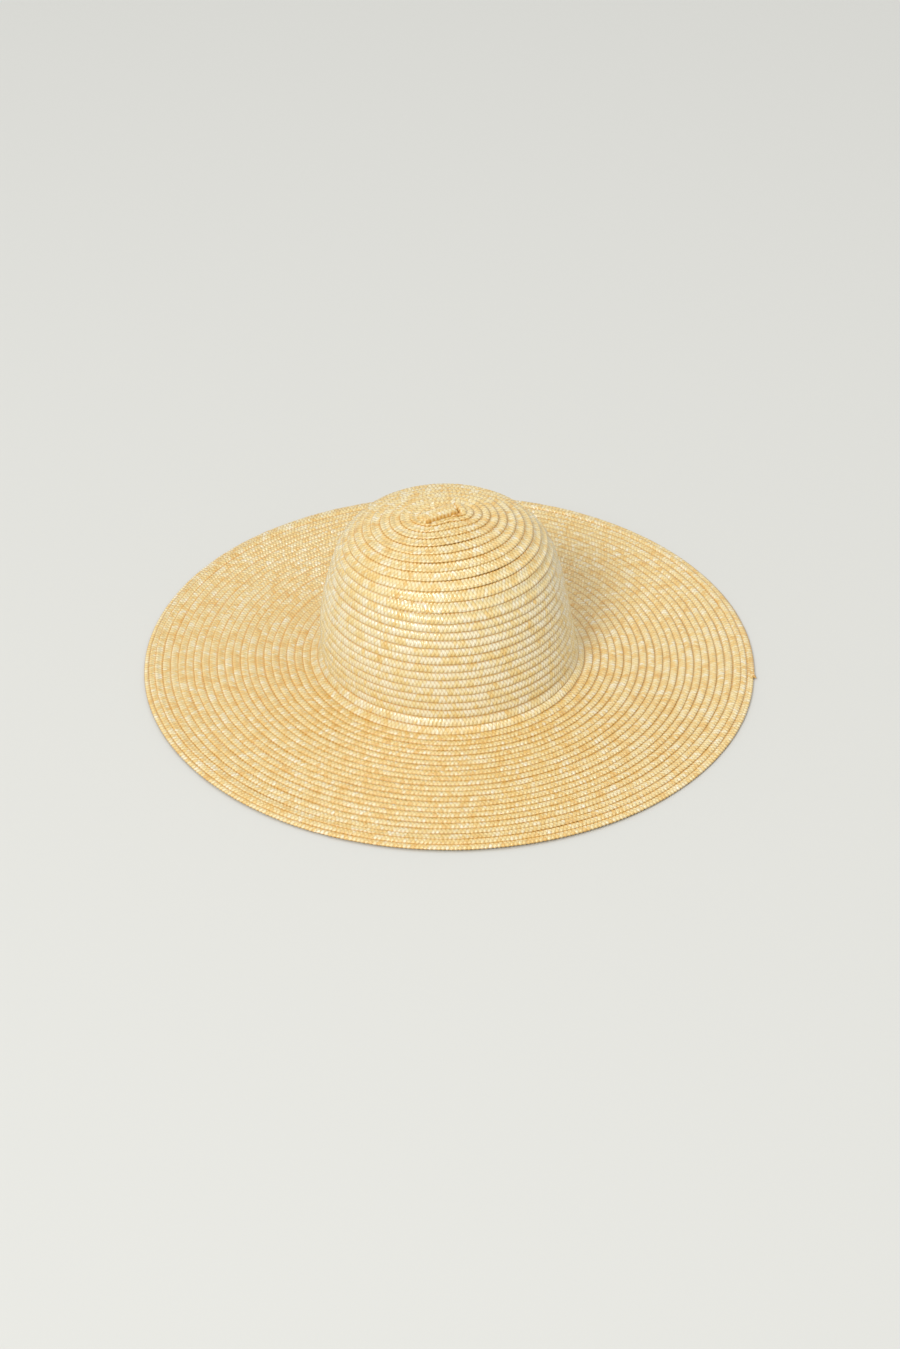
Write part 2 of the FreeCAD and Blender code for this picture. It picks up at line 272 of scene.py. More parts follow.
def ribbon_bed(length, across):
    """Height of the ribbon's underside above the shell's inner face.

    The outer part of each turn lies on the next turn, one thickness up, and where the
    turns close up at the edge of the brim on the one after that as well. A later
    turn's inner edge is found from its line, and stiff straw bridges the step in 3 mm.
    """
    turn = turn_at(length)
    raised = 0
    for later in (1, 2):
        edge = line_of(turn + later) - BRAID_WIDTH - (line_of(turn) - BRAID_WIDTH / 2)
        ramp = np.clip((across - edge + 3.0 * MM) / (3.0 * MM), 0, 1)
        exists = np.clip((END_TURN - later - turn) * 12, 0, 1)
        raised = raised + BRAID_THICKNESS * ramp * ramp * (3 - 2 * ramp) * exists
    lively = 0.10 * MM * wander(length, 23 * MM, 5) * (0.4 + across / BRAID_WIDTH)
    return raised + lively


def place(length, across, height):
    """World points of the ribbon: distance along it, across it, and above the shell."""
    turn = turn_at(length)
    stray = 0.28 * MM * wander(length, 55 * MM, 3) + 0.14 * MM * wander(length, 9 * MM, 4)
    calm = np.clip((END_TURN - 1.3 - turn) * 2, 0.25, 1)
    flick = np.clip(1 - (BRAID_LENGTH - length) / (9 * MM), 0, 1) ** 2
    distance = line_of(turn) - BRAID_WIDTH / 2 + across + stray * calm + 1.8 * MM * flick
    distance = np.abs(distance)
    return settle(on_block(azimuth_of(turn), distance, height - SHELL))


# %% [markdown]
# ## From arrays to a mesh
#
# Every piece below is a grid of points that is closed round one way, like a hose. One
# function turns such a grid into a mesh: each little quad joins four neighbours, and
# the two open ends are shut with a fan, so the piece is a solid that could be printed.

# %% Mesh from a closed grid


def hose(name, rings, uv, lap=None, tone=0.0):
    """Mesh of a grid of points, shape (stations, points round, 3), closed round.

    uv holds two numbers per point and becomes the UV map "braid". A second map, "lap",
    holds `lap`, how far the point is from the crease beside the next row, and `tone`,
    how much darker than usual (or paler, below 0) the straw is.
    """
    count, around = rings.shape[:2]
    index = np.arange(count * around).reshape(count, around)
    a, b = index[:-1], index[1:]
    quads = np.stack([a, b, np.roll(b, -1, 1), np.roll(a, -1, 1)], -1).reshape(-1, 4)
    fan = np.arange(1, around - 1)
    zero = np.zeros_like(fan)
    start = np.stack([index[0][zero], index[0][fan], index[0][fan + 1]], -1)
    end = np.stack([index[-1][zero], index[-1][fan + 1], index[-1][fan]], -1)
    corners = np.concatenate([quads.ravel(), start.ravel(), end.ravel()]).astype(np.int32)
    sizes = np.concatenate([np.full(len(quads), 4), np.full(2 * len(fan), 3)])
    mesh = bpy.data.meshes.new(name)
    mesh.vertices.add(count * around)
    mesh.vertices.foreach_set("co", rings.astype(np.float32).ravel())
    mesh.loops.add(len(corners))
    mesh.loops.foreach_set("vertex_index", corners)
    mesh.polygons.add(len(sizes))
    starts = np.concatenate([[0], np.cumsum(sizes)[:-1]]).astype(np.int32)
    mesh.polygons.foreach_set("loop_start", starts)
    mesh.polygons.foreach_set("use_smooth", np.ones(len(sizes), dtype=bool))
    layer = mesh.uv_layers.new(name="braid")
    layer.data.foreach_set("uv", uv.reshape(-1, 2)[corners].astype(np.float32).ravel())
    if lap is None:
        lap = np.full(count * around, 1.0)
    lap_layer = mesh.uv_layers.new(name="lap")
    lap_uv = np.stack([lap.ravel(), (tone + 0 * lap).ravel()], -1)[corners]
    lap_layer.data.foreach_set("uv", lap_uv.astype(np.float32).ravel())
    mesh.update()
    mesh.validate()
    piece = bpy.data.objects.new(name, mesh)
    bpy.context.scene.collection.objects.link(piece)
    return piece


def finish_piece(piece, slot, material, *nodes):
    """Give a piece its finish, let it ride on the hat's one body and stand for CAD nodes."""
    piece.data.materials.append(material)
    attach(piece, "root")
    if nodes:
        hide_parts(*nodes)
    return piece


# %% [markdown]
# ## Finishes
#
# Colours are written as they look on a screen (sRGB hex) and turned to linear light
# once, here. `node` adds one shader node with its settings and its links.

# %% Colour and node helpers


def linear(hex_code):
    """sRGB hex to linear RGBA: v / 12.92 below 0.04045, else ((v + 0.055) / 1.055)^2.4."""
    parts = [int(hex_code[i:i + 2], 16) / 255 for i in (1, 3, 5)]
    parts = [v / 12.92 if v <= 0.04045 else ((v + 0.055) / 1.055) ** 2.4 for v in parts]
    return (*parts, 1.0)


def node(tree, kind, settings=None, **inputs):
    """Add one shader node, set it and link it, and return it.

    settings are its properties. inputs are its sockets, by number as i0, i1 or by name
    with _ for a space. Each is a value, a socket, or a node, which gives its first output.
    """
    made = tree.nodes.new("ShaderNode" + kind)
    for key, value in (settings or {}).items():
        setattr(made, key, value)
    for key, value in inputs.items():
        numbered = key[0] == "i" and key[1:].isdigit()
        socket = made.inputs[int(key[1:]) if numbered else key.replace("_", " ")]
        if isinstance(value, bpy.types.Node):
            value = value.outputs[0]
        if isinstance(value, bpy.types.NodeSocket):
            tree.links.new(value, socket)
        else:
            socket.default_value = value
    return made


def new_material(name):
    """An empty material, and the node tree to fill."""
    material = bpy.data.materials.new(name)
    material.use_nodes = True
    material.node_tree.nodes.clear()
    return material, material.node_tree


# %% [markdown]
# ### Plaited wheat straw
#
# Wheat straw is a hollow stem with a waxy skin, split or pressed flat and plaited
# damp. The skin gives it small bright glints; the colour goes from pale cream, where
# the stem was shaded by its leaf, to gold at the joints. So colour changes from straw
# to straw, and slowly along each one. The material works in the plait's own slanted
# coordinates, which come from the UV map in millimetres of braid.

# %% Straw material
STRAW_PALE = linear("#F5ECCB")
STRAW_CREAM = linear("#F1DDA0")
STRAW_GOLD = linear("#EDCA7C")
STRAW_AMBER = linear("#E4B562")
# brown of the painted shade in the grooves, at the braid's edges and in the creases
PAINTED_SHADE_COLOUR = linear("#D09226")


def plaited_straw():
    """Waxy straw skin: small sharp white glints over a broad satin sheen."""
    material, tree = new_material("wheat straw, plaited")
    uv = node(tree, "SeparateXYZ", Vector=node(tree, "UVMap", {"uv_map": "braid"}))
    length, across = uv.outputs[0], uv.outputs[1]
    lap = node(tree, "SeparateXYZ", Vector=node(tree, "UVMap", {"uv_map": "lap"}))

    # slanted coordinates a and b, and the diamond (i, j) that a point is in
    along_ribbon = node(tree, "Math", {"operation": "MULTIPLY"}, i0=length, i1=1 / PLAIT)
    over_ribbon = node(
        tree, "Math", {"operation": "MULTIPLY_ADD"}, i0=across, i1=1 / PLAIT_ACROSS, i2=-0.5
    )
    a = node(tree, "Math", {"operation": "ADD"}, i0=along_ribbon, i1=over_ribbon)
    b = node(tree, "Math", {"operation": "SUBTRACT"}, i0=along_ribbon, i1=over_ribbon)
    i = node(tree, "Math", {"operation": "FLOOR"}, i0=a)
    j = node(tree, "Math", {"operation": "FLOOR"}, i0=b)
    in_a = node(tree, "Math", {"operation": "SUBTRACT"}, i0=a, i1=i)
    in_b = node(tree, "Math", {"operation": "SUBTRACT"}, i0=b, i1=j)

    # which straw is on top, and where on it the point is
    total = node(tree, "Math", {"operation": "ADD"}, i0=i, i1=j)
    odd = node(tree, "Math", {"operation": "FLOORED_MODULO"}, i0=total, i1=2.0)
    over = node(tree, "Mix", {"data_type": "FLOAT"}, i0=odd, i2=in_b, i3=in_a)
    along = node(tree, "Mix", {"data_type": "FLOAT"}, i0=odd, i2=in_a, i3=in_b)
    straw = node(tree, "Mix", {"data_type": "FLOAT"}, i0=odd, i2=j, i3=i)

    # tone: slow change along the braid, a tone per straw and a tone per diamond
    patches = node(
        tree, "TexNoise", {"noise_dimensions": "2D"},
        Vector=node(tree, "CombineXYZ", X=length, Y=across),
        Scale=1 / (11 * MM), Detail=2.0, Roughness=0.55,
    )
    straw_tone = node(
        tree, "TexWhiteNoise", {"noise_dimensions": "2D"},
        Vector=node(tree, "CombineXYZ", X=straw, Y=odd),
    )
    diamond_tone = node(
        tree, "TexWhiteNoise", {"noise_dimensions": "2D"},
        Vector=node(tree, "CombineXYZ", X=i, Y=j),
    )
    tone = node(tree, "Math", {"operation": "MULTIPLY_ADD"}, i0=patches, i1=1.05, i2=-0.31)
    tone = node(tree, "Math", {"operation": "MULTIPLY_ADD"}, i0=straw_tone, i1=0.32, i2=tone)
    tone = node(tree, "Math", {"operation": "MULTIPLY_ADD"}, i0=diamond_tone, i1=0.36, i2=tone)
    tone = node(tree, "Math", {"operation": "ADD"}, i0=tone, i1=lap.outputs[1])
    colours = node(tree, "ValToRGB", Fac=tone)
    stops = colours.color_ramp.elements
    stops[0].position, stops[0].color = 0.10, STRAW_PALE
    stops[1].position, stops[1].color = 1.0, STRAW_AMBER
    stops.new(0.42).color = STRAW_CREAM
    stops.new(0.72).color = STRAW_GOLD

    # fibres run along each straw; real ones are finer and are drawn 0.3 mm apart to show
    fibres = node(
        tree, "TexNoise", {"noise_dimensions": "3D"},
        Vector=node(
            tree, "CombineXYZ",
            X=node(tree, "Math", {"operation": "MULTIPLY"}, i0=over, i1=9.0),
            Y=node(tree, "Math", {"operation": "ADD"}, i0=along, i1=straw),
            Z=odd,
        ),
        Scale=1.0, Detail=2.0, Roughness=0.6,
    )
    shade = node(tree, "MapRange", Value=fibres, i1=0.3, i2=0.7, i3=0.8, i4=1.0)
    grey = node(tree, "CombineColor", i0=shade, i1=shade, i2=shade)
    fibred = node(
        tree, "Mix", {"data_type": "RGBA", "blend_type": "MULTIPLY"}, i0=0.35, i6=colours, i7=grey
    )

    # painted shade in brown: in the grooves between straws, at the braid's two edges where they
    # fold, and in the crease where one row comes out from under the next; darkest once a plait
    rest = node(tree, "Math", {"operation": "SUBTRACT"}, i0=1.0, i1=over)
    side = node(tree, "Math", {"operation": "MINIMUM"}, i0=over, i1=rest)
    groove_shade = node(tree, "MapRange", Value=side, i1=0.0, i2=0.15, i3=0.8, i4=0.0)
    from_middle = node(tree, "Math", {"operation": "ABSOLUTE"}, i0=across)
    rim = node(
        tree, "MapRange", Value=from_middle,
        i1=BRAID_WIDTH * 0.44, i2=BRAID_WIDTH * 0.50, i3=0.0, i4=1.0,
    )
    crease = node(
        tree, "MapRange", Value=lap, i1=0.4 * MM, i2=1.2 * MM, i3=1.0, i4=0.0
    )
    angle = node(tree, "Math", {"operation": "MULTIPLY"}, i0=length, i1=math.pi / PLAIT)
    cosine = node(tree, "Math", {"operation": "COSINE"}, i0=angle)
    notch = node(tree, "Math", {"operation": "ABSOLUTE"}, i0=cosine)
    notch = node(tree, "Math", {"operation": "POWER"}, i0=notch, i1=3.0)
    notch = node(tree, "Math", {"operation": "MULTIPLY_ADD"}, i0=notch, i1=0.6, i2=0.4)
    rim_shade = node(tree, "Math", {"operation": "MULTIPLY"}, i0=rim, i1=notch)
    crease_shade = node(tree, "Math", {"operation": "MULTIPLY"}, i0=crease, i1=notch)
    edge_shade = node(tree, "Math", {"operation": "MAXIMUM"}, i0=rim_shade, i1=crease_shade)
    painted_shade = node(tree, "Math", {"operation": "MAXIMUM"}, i0=groove_shade, i1=edge_shade)
    # the painted shade is mixed over the straw colour
    colour = node(
        tree, "Mix", {"data_type": "RGBA"}, i0=painted_shade, i6=fibred.outputs[2], i7=PAINTED_SHADE_COLOUR
    )

    # each straw is round across, and some are shinier than others
    other = node(tree, "Math", {"operation": "SUBTRACT"}, i0=1.0, i1=side)
    round_straw = node(tree, "Math", {"operation": "MULTIPLY"}, i0=side, i1=other)
    height = node(
        tree, "Math", {"operation": "MULTIPLY_ADD"}, i0=fibres, i1=0.05, i2=round_straw
    )
    bump = node(tree, "Bump", Strength=1.0, Distance=1.0 * MM, Height=height)
    roughness = node(tree, "MapRange", Value=diamond_tone, i1=0.0, i2=1.0, i3=0.25, i4=0.45)
    skin = node(
        tree, "BsdfPrincipled", Base_Color=colour.outputs[2], Roughness=roughness, IOR=1.52,
        Coat_Weight=1.0, Coat_Roughness=0.11, Normal=bump,
    )
    node(tree, "OutputMaterial", Surface=skin)
    return material


straw_material = plaited_straw()

# %% [markdown]
# ## The ribbon
#
# A ring of fifteen points goes round the ribbon at each station: twelve across the top,
# where the plait shows, and three underneath. Stations are a quarter of a plait apart,
# so each diamond gets its own little hill. The edges are scalloped where the straws
# fold back. A length of braid that ends at a splice is cut on the slant and rides up
# over the next one. The very end of the braid runs out to a small point at the edge.

# %% Ribbon
TOP_SHARES = np.array([-1, -0.72, -0.5, -0.33, -0.17, 0, 0.17, 0.33, 0.5, 0.67, 0.84, 1.0])
UNDER_SHARES = np.array([0.99, 0.2, -0.8])
STATION = PLAIT / 4


def ribbon(name, first, last, cut_first=False, cut_last=False):
    """A stretch of braid from length `first` to `last`, as a closed hose.

    Height above the shell is the bed, plus the ribbon's own thickness, which thins at
    the two edges as the sixth power of the distance from the middle, plus the plait.
    """
    length = np.arange(math.ceil(first / STATION), math.floor(last / STATION) + 1) * STATION
    length = length[:, None]
    width = BRAID_WIDTH * (1 + 0.025 * wander(length, 60 * MM, 8))
    scallop = 0.5 * MM * np.abs(np.sin(math.pi * length / PLAIT))
    share = TOP_SHARES[None]
    across = share * width / 2 + np.sign(share) * (np.abs(share) > 0.95) * (scallop - 0.3 * MM)
    beneath = UNDER_SHARES[None] * width / 2
    beneath = beneath + (UNDER_SHARES[None] > 0.9) * (scallop - 0.2 * MM)
    slanted_end = np.zeros_like(length)
    kept_side = 1
    kept = np.ones_like(length)
    if cut_last:
        kept = np.clip(0.06 + (last - length) / (9 * MM), 0, 1)
        if last < BRAID_LENGTH:
            kept_side = -1
            slanted_end = np.clip(1 - (last - length) / (26 * MM), 0, 1)
    across = kept_side * width / 2 + (across - kept_side * width / 2) * kept
    beneath = kept_side * width / 2 + (beneath - kept_side * width / 2) * kept
    if cut_first:
        kept = np.clip(0.06 + (length - first) / (9 * MM), 0, 1)
        across = width / 2 + (across - width / 2) * kept
        beneath = width / 2 + (beneath - width / 2) * kept
    body = BRAID_THICKNESS * (1 - 0.6 * np.abs(across / (width / 2)) ** 6)
    lift = 0.75 * MM * slanted_end * slanted_end * (3 - 2 * slanted_end)
    inside = np.abs(share) < 0.95
    relief = plait_height(length, across) - 0.55 * PLAIT_RELIEF
    top = ribbon_bed(length, across) + body * 0.86 + relief * np.where(inside, 1, 0.5) + lift
    under = ribbon_bed(length, beneath) + lift - np.array([[0.22, 0.05, 0.05]]) * MM
    all_across = np.concatenate([across, beneath], 1)
    all_height = np.concatenate([top, under], 1)
    rings = place(length + 0 * all_across, all_across, all_height)
    uv = np.stack([length + 0 * all_across, all_across], -1)
    turn = turn_at(length)
    # lap: distance from the crease under the previous row's edge, where the straw material paints
    # shade
    lap = all_across - (line_of(turn - 1) - line_of(turn) + BRAID_WIDTH / 2)
    tone = np.interp(turn, [0, 9, 14, 24, 27, 47], [-0.02, -0.07, -0.28, -0.28, -0.03, -0.05])
    return hose(name, rings, uv, lap=lap, tone=tone)


SPLICE_AT_FRONT = length_at(TOP_TURNS + 0.01)
SPLICE_OVERLAP = 14 * MM
side_splice_turn = TOP_TURNS + WALL_TURNS + 1 + (FRONT - math.radians(-138.6)) / (2 * math.pi)
SPLICE_AT_HEAD = length_at(side_splice_turn)
EDGE_ROW = length_at(END_TURN - 1)

lengths_of_braid = {
    "crown_tip_braid": (0.0, SPLICE_AT_FRONT + SPLICE_OVERLAP, 1, False, True),
    "crown_side_braid": (SPLICE_AT_FRONT, SPLICE_AT_HEAD + SPLICE_OVERLAP, 2, True, True),
    "brim_braid": (SPLICE_AT_HEAD, EDGE_ROW, 5, True, False),
    "brim_edge_braid": (EDGE_ROW, BRAID_LENGTH, 1, False, True),
}
for cad_node, (first, last, parts, cut_first, cut_last) in lengths_of_braid.items():
    marks = np.linspace(first, last, parts + 1)
    for k in range(parts):
        label = f"{cad_node}_plait_{k + 1}" if parts > 1 else f"{cad_node}_plait"
        begin = marks[k] - (STATION if k else 0)
        piece = ribbon(
            label, begin, marks[k + 1], cut_first and k == 0, cut_last and k == parts - 1
        )
        finish_piece(piece, "straw", straw_material, cad_node)
        print(label, len(piece.data.vertices), "points")

# %% [markdown]
# ## The start of the braid
#
# A sewer can't turn a flat ribbon on the spot, so the first few centimetres are folded
# over and sewn down as a straight bar, and the braid goes round that. Beside the fold
# lies the return of the ribbon, flatter, and across its far end the short cut end. All
# three are straight lengths of the same plait, laid on the top of the crown.

# %% Bar on the tip


def laid_strip(name, centre, direction, size, base, rise, uv_start):
    """A short straight strip of plait on the crown's top.

    centre and size are in plan. Height above the crown is `base` underneath and `rise`
    more on top, times 1 - 0.75 |share|^5 at the sides and rounded at the ends.
    """
    length, width = size
    along = np.arange(-length / 2, length / 2 + STATION, STATION)[:, None]
    share = TOP_SHARES[None]
    ends = np.clip((length / 2 - np.abs(along)) / (2.2 * MM), 0, 1) ** 0.5
    across = share * width / 2 * (0.75 + 0.25 * ends)
    relief = plait_height(along + uv_start, across)
    top = base + rise * (1 - 0.75 * np.abs(share) ** 5) * (0.35 + 0.65 * ends) + 0.5 * relief
    beneath = np.array([[0.9, 0.0, -0.9]]) * width / 2 * (0.75 + 0.25 * ends)
    all_across = np.concatenate([across, beneath], 1)
    height = np.concatenate([top, base + 0 * beneath], 1)
    along = along + 0 * all_across
    x = centre[0] + along * math.cos(direction) + all_across * math.sin(direction)
    y = centre[1] + along * math.sin(direction) - all_across * math.cos(direction)
    rings = settle(on_block(np.arctan2(y, x), np.hypot(x, y), height))
    # lap: distance from the strip's sides, so the straw material paints shade along them, where
    # the strip meets its neighbours
    lap = width / 2 - np.abs(all_across)
    uv = np.stack([along + uv_start, all_across], -1)
    return hose(name, rings[:, ::-1], uv[:, ::-1], lap=lap[:, ::-1])


bar_parts = {
    "fold": ((-3.6 * MM, -5.9 * MM), 0, (27 * MM, 5.6 * MM), -1.4 * MM, 3.5 * MM),
    "return": ((-4.2 * MM, 1.0 * MM), 2, (33 * MM, 8.4 * MM), -1.6 * MM, 2.3 * MM),
    "end": ((10.2 * MM, 4.8 * MM), -93, (14 * MM, 5.4 * MM), -1.2 * MM, 3.2 * MM),
}
for k, (part, (centre, turned, size, base, rise)) in enumerate(bar_parts.items()):
    direction = BAR_DIRECTION + math.radians(turned)
    strip = laid_strip(f"tip_start_bar_{part}", centre, direction, size, base, rise, 0.3 + k)
    finish_piece(strip, "straw", straw_material, "tip_start_bar")

# %% [markdown]
# ## Thread
#
# A straw sewing machine makes a chain stitch: a short stitch on the top, which sinks
# between the straws, and a looped chain on the inside of the hat. Each seam here is one
# closed tube that goes along the top, down through both rows, along the inside with a
# little sideways step, and up again.

# %% Cotton material


def cotton():
    """Two-ply cotton: a slanted twist every 0.5 mm, matt and slightly fuzzy."""
    material, tree = new_material("cotton thread, two-ply")
    twist = node(
        tree, "TexWave", {"bands_direction": "DIAGONAL"},
        Vector=node(tree, "UVMap", {"uv_map": "braid"}),
        Scale=1 / (1.6 * MM), Distortion=0.6, Detail=1.0,
    ).outputs[1]
    colours = node(tree, "ValToRGB", Fac=twist)
    colours.color_ramp.elements[0].color = linear("#C9A662")
    colours.color_ramp.elements[1].color = linear("#EBD9AE")
    bump = node(tree, "Bump", Strength=0.5, Distance=0.06 * MM, Height=twist)
    yarn = node(
        tree, "BsdfPrincipled",
        Base_Color=colours, Roughness=0.8, Normal=bump, Sheen_Weight=0.3,
    )
    node(tree, "OutputMaterial", Surface=yarn)
    return material


cotton_material = cotton()

# %% Seams
STITCH = 3.2 * MM
THREAD_RADIUS = 0.14 * MM
SEAM_INSET = 1.4 * MM


def tube(name, points, side, radius):
    """A four-sided tube along points, shape (stations, 3); side is roughly sideways.

    Each ring is the point plus radius times (cos, sin) of four angles, in the plane of
    the sideways direction and its cross product with the tangent.
    """
    tangent = np.gradient(points, axis=0)
    tangent /= np.linalg.norm(tangent, axis=1, keepdims=True)
    up = np.cross(tangent, side)
    up /= np.linalg.norm(up, axis=1, keepdims=True)
    level = np.cross(up, tangent)
    angle = np.array([math.pi / 4, 3 * math.pi / 4, 5 * math.pi / 4, 7 * math.pi / 4])
    rings = (
        points[:, None]
        + radius * np.cos(angle)[None, :, None] * level[:, None]
        + radius * np.sin(angle)[None, :, None] * up[:, None]
    )
    travelled = np.linalg.norm(np.diff(points, axis=0), axis=1)
    travelled = np.concatenate([[0.0], np.cumsum(travelled)])
    uv = np.stack(np.broadcast_arrays(travelled[:, None], angle[None] * radius), -1)
    return hose(name, rings[:, ::-1], uv[:, ::-1])


def seam(name, first, last, inset):
    """Stitches from braid length first to last, `inset` inside the ribbon's outer edge.

    Four points per stitch: two on top at 0 and 62 % of it, two beneath at 72 and 90 %.
    """
    count = int((last - first) / STITCH)
    start = first + STITCH * np.arange(count)[:, None]
    length = (start + STITCH * np.array([[0.0, 0.62, 0.72, 0.90]])).ravel()
    loop = np.tile([0.0, 0.0, 0.35, -0.35], count) * MM
    across = BRAID_WIDTH / 2 - inset + loop
    on_top = np.tile([1, 1, 0, 0], count)
    top = ribbon_bed(length, across) + 0.9 * BRAID_THICKNESS + 0.10 * MM
    height = np.where(on_top, top, -0.16 * MM)
    points = place(length, across, height)
    side = place(length, across + 0.2 * MM, height) - points
    points[:, 2] = np.maximum(points[:, 2], 0.25 * MM)
    return tube(name, points, side, THREAD_RADIUS)


thread_nodes = {
    "crown_tip_braid": "crown_tip_thread",
    "crown_side_braid": "crown_side_thread",
    "brim_braid": "brim_thread",
    "brim_edge_braid": "brim_edge_thread",
}
for cad_node, (first, last, *rest) in lengths_of_braid.items():
    thread_node = thread_nodes[cad_node]
    inset = 2.7 * MM if cad_node == "brim_edge_braid" else SEAM_INSET
    parts = 2 if cad_node == "brim_braid" else 1
    marks = np.linspace(first + 4 * MM, last - 12 * MM, parts + 1)
    for k in range(parts):
        label = f"{thread_node}_stitches_{k + 1}" if parts > 1 else f"{thread_node}_stitches"
        piece = seam(label, marks[k], marks[k + 1], inset)
        finish_piece(piece, "thread", cotton_material, thread_node)
        print(piece.name, len(piece.data.polygons), "faces")

# %% [markdown]
# ## Sweatband
#
# Inside the head line runs a ribbon of grosgrain, a ribbed weave with thick cross
# threads about a millimetre apart. It keeps the straw off the forehead. It is cut a
# little longer than the opening and its ends lap at the back.

# %% Grosgrain material


def grosgrain():
    """Ribbed ribbon: fine warp along it over thick ribs across it, with a soft sheen."""
    material, tree = new_material("grosgrain ribbon, cotton and viscose")
    uv = node(tree, "UVMap", {"uv_map": "braid"})
    parts = node(tree, "SeparateXYZ", Vector=uv)
    along, over = parts.outputs[0], parts.outputs[1]
    rib = node(tree, "Math", {"operation": "MULTIPLY"}, i0=along, i1=2 * math.pi / RIB)
    rib = node(tree, "Math", {"operation": "SINE"}, i0=rib)
    warp = node(tree, "Math", {"operation": "MULTIPLY"}, i0=over, i1=2 * math.pi / (0.4 * MM))
    warp = node(tree, "Math", {"operation": "SINE"}, i0=warp)
    relief = node(tree, "Math", {"operation": "MULTIPLY_ADD"}, i0=warp, i1=0.15, i2=rib)
    mottled = node(tree, "TexNoise", Vector=uv, Scale=90.0, Detail=4.0, Roughness=0.7)
    colours = node(tree, "ValToRGB", Fac=mottled)
    colours.color_ramp.elements[0].color = linear("#D8C49A")
    colours.color_ramp.elements[1].color = linear("#EADBB8")
    bump = node(tree, "Bump", Strength=0.5, Distance=0.1 * MM, Height=relief)
    cloth = node(
        tree, "BsdfPrincipled",
        Base_Color=colours, Roughness=0.62, Normal=bump, Sheen_Weight=0.25,
    )
    node(tree, "OutputMaterial", Surface=cloth)
    return material


# %% Sweatband, with its lapped ends
RIB = 1.0 * MM
BAND_THICKNESS = 0.45 * MM
BAND_LAP = math.radians(5)
band_low, band_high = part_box("sweatband")
band_radius = band_high.x - BAND_THICKNESS
band_width = band_high.z - band_low.z
grosgrain_material = grosgrain()
around = np.arange(0, 2 * math.pi + BAND_LAP, RIB / 2 / band_radius)
ribbed = 0.04 * MM * (-1.0) ** np.arange(len(around))
lapped = np.clip((around - 2 * math.pi + BAND_LAP * 0.3) / (BAND_LAP * 0.5), 0, 1)
easing = 0.5 * MM * lapped * lapped * (3 - 2 * lapped)
rows = np.linspace(0, 1, 7)
selvedge = 0.08 * MM * (np.abs(rows - 0.5) > 0.45)
inner = band_radius - easing[:, None] + ribbed[:, None] - selvedge[None]
outer = band_radius - easing[:, None] + BAND_THICKNESS + 0 * rows[None, ::3]
radius = np.concatenate([inner, outer], 1)
share = np.concatenate([rows, rows[::-3]])[None] + 0 * radius
turned = math.pi / 2 + around[:, None] + 0 * radius
wave = 0.3 * MM * np.sin(5 * turned) * share
points = np.stack(
    [(radius + wave) * np.cos(turned), (radius + wave) * np.sin(turned),
     band_low.z + share * band_width], -1
)
uv = np.stack([around[:, None] * band_radius + 0 * radius, share * band_width], -1)
sweatband = hose("sweatband_grosgrain", settle(points)[:, ::-1], uv[:, ::-1])
finish_piece(sweatband, "grosgrain", grosgrain_material, "sweatband")

# %% [markdown]
# The band is held by a running stitch near its lower edge: sixty stitches, each one
# showing on the inside of the hat for half of its length.

# %% Running stitch
STITCHES = 60
stitch_height = (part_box("sweatband_stitches")[0].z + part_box("sweatband_stitches")[1].z) / 2
corner = np.tile([-0.30, -0.22, 0.22, 0.30], STITCHES)
place_in_row = np.repeat(np.arange(STITCHES), 4) + corner
angle = place_in_row * 2 * math.pi / STITCHES
inside = np.tile([0, 1, 1, 0], STITCHES)
radius = np.where(inside, band_radius - 0.16 * MM, band_radius + BAND_THICKNESS + 0.1 * MM)
radius = radius + 0.3 * MM * np.sin(5 * angle) * (stitch_height - band_low.z) / band_width
points = np.stack(
    [radius * np.cos(angle), radius * np.sin(angle), stitch_height + 0 * radius], -1
)
side = np.tile([0.0, 0.0, 1.0], (len(points), 1))
running = tube("sweatband_running_stitch", settle(points), side, 0.2 * MM)
finish_piece(running, "thread", cotton_material, "sweatband_stitches")

# %% [markdown]
# ## Size tab
#
# A small woven satin tab sits at the back above the sweatband. It carries no words.

# %% Tab material and tab


def woven_tab():
    """Damask label cloth: threads 0.25 mm apart each way, drawn at 0.4 mm so they show.

    Its satin face looks smooth and a little silky.
    """
    material, tree = new_material("woven polyester label")
    weave = node(
        tree, "TexChecker", Vector=node(tree, "UVMap", {"uv_map": "braid"}),
        Scale=1 / (0.4 * MM), Color1=linear("#EFE6D0"), Color2=linear("#E2D6BA"),
    )
    bump = node(tree, "Bump", Strength=0.4, Distance=0.05 * MM, Height=weave.outputs[1])
    cloth = node(
        tree, "BsdfPrincipled",
        Base_Color=weave, Roughness=0.45, Normal=bump, Sheen_Weight=0.2,
    )
    node(tree, "OutputMaterial", Surface=cloth)
    return material


tab_low, tab_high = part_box("size_tab")
tab_half = (tab_high.x - tab_low.x) / 2
tab_middle = (tab_high.z + tab_low.z) / 2
TAB_THICKNESS = 0.35 * MM
wall = (run > TIP_END) & (run < SIDE_END)
level = np.linspace(tab_low.z, tab_high.z, 9)
distance = np.interp(-level, -run_up[wall], run[wall])
sweep = np.linspace(-1, 1, 49)[:, None]
lift = np.concatenate([np.full(9, -0.75 * MM - TAB_THICKNESS), np.full(3, -0.75 * MM)])[None]
lift = lift - 0.25 * MM * (1 - sweep ** 2)
distances = np.concatenate([distance, distance[::-4]])[None] + 0 * lift
azimuths = math.pi / 2 + sweep * tab_half / tab_high.y + 0 * lift
points = settle(on_block(azimuths, distances, lift - SHELL))
heights = np.concatenate([level, level[::-4]])[None]
uv = np.stack([sweep * tab_half + 0 * lift, heights + 0 * lift], -1)
tab = hose("size_tab_woven", points[:, ::-1], uv[:, ::-1])
finish_piece(tab, "tab_cloth", woven_tab(), "size_tab")

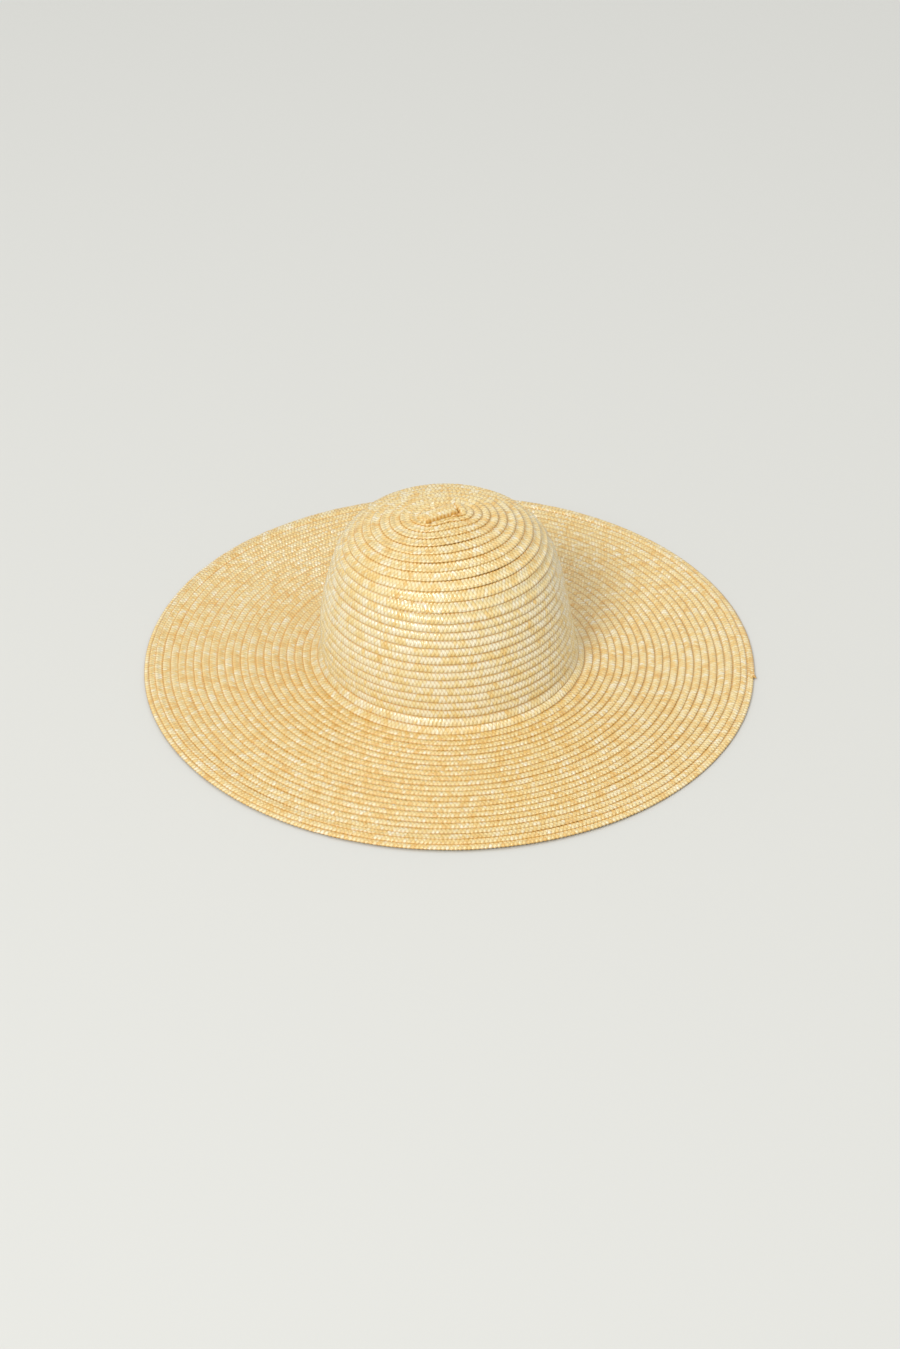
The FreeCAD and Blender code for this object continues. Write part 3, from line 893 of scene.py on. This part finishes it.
# %% [markdown]
# ## Studio
#
# The hat stands on a seamless pale sweep. A soft box in front on the left gives the
# shape and most of the glints, a weaker one overhead lights the brim behind the crown,
# and light from all sides fills the shadows.

# %% Floor, light and camera
PAPER = linear("#D4D4CF")
# matt card with a fine tooth: it shows soft shadows and no reflection
sweep_material, tree = new_material("matt paper sweep")
grain = node(
    tree, "TexNoise", Vector=node(tree, "TexCoord").outputs["Object"], Scale=900.0, Detail=2.0
)
tooth = node(tree, "Bump", Strength=0.05, Distance=0.1 * MM, Height=grain)
paper = node(
    tree, "BsdfPrincipled",
    Base_Color=PAPER, Roughness=0.9, Specular_IOR_Level=0.2, Normal=tooth,
)
node(tree, "OutputMaterial", Surface=paper)

floor_mesh = bpy.data.meshes.new("floor")
floor_mesh.from_pydata([(-6, -6, 0), (6, -6, 0), (6, 6, 0), (-6, 6, 0)], [], [(0, 1, 2, 3)])
floor = bpy.data.objects.new("floor", floor_mesh)
floor.data.materials.append(sweep_material)
bpy.context.scene.collection.objects.link(floor)

world = bpy.data.worlds.new("studio")
bpy.context.scene.world = world
world.use_nodes = True
world.node_tree.nodes["Background"].inputs[0].default_value = (1.0, 1.0, 1.0, 1.0)
world.node_tree.nodes["Background"].inputs[1].default_value = 0.69


def soft_box(name, azimuth, elevation, distance, side, power):
    """An area light that looks at the hat's crown from an azimuth and an elevation."""
    data = bpy.data.lights.new(name, "AREA")
    data.shape = "DISK"
    data.size = side
    data.energy = power
    lamp = bpy.data.objects.new(name, data)
    a, e = math.radians(azimuth), math.radians(elevation)
    lamp.location = (
        distance * math.cos(e) * math.cos(a),
        distance * math.cos(e) * math.sin(a),
        distance * math.sin(e) + 0.05,
    )
    lamp.rotation_euler = (math.pi / 2 - e, 0, a + math.pi / 2)
    bpy.context.scene.collection.objects.link(lamp)
    return lamp


soft_box("key", -120, 42, 5.5, 1.8, 152)
soft_box("overhead", 60, 82, 5.0, 1.4, 38)

CAMERA_DISTANCE = 1.9
CAMERA_TILT = math.radians(35.8)
AIM = (0.0004, -0.0232, 0.002)
camera_data = bpy.data.cameras.new("camera")
camera_data.lens = 70.75
camera_data.sensor_width = 36
camera = bpy.data.objects.new("camera", camera_data)
camera.location = (
    AIM[0],
    AIM[1] - CAMERA_DISTANCE * math.cos(CAMERA_TILT),
    AIM[2] + CAMERA_DISTANCE * math.sin(CAMERA_TILT),
)
camera.rotation_euler = (math.pi / 2 - CAMERA_TILT, 0, 0)
bpy.context.scene.collection.objects.link(camera)
bpy.context.scene.camera = camera
bpy.context.scene.view_settings.view_transform = "Standard"
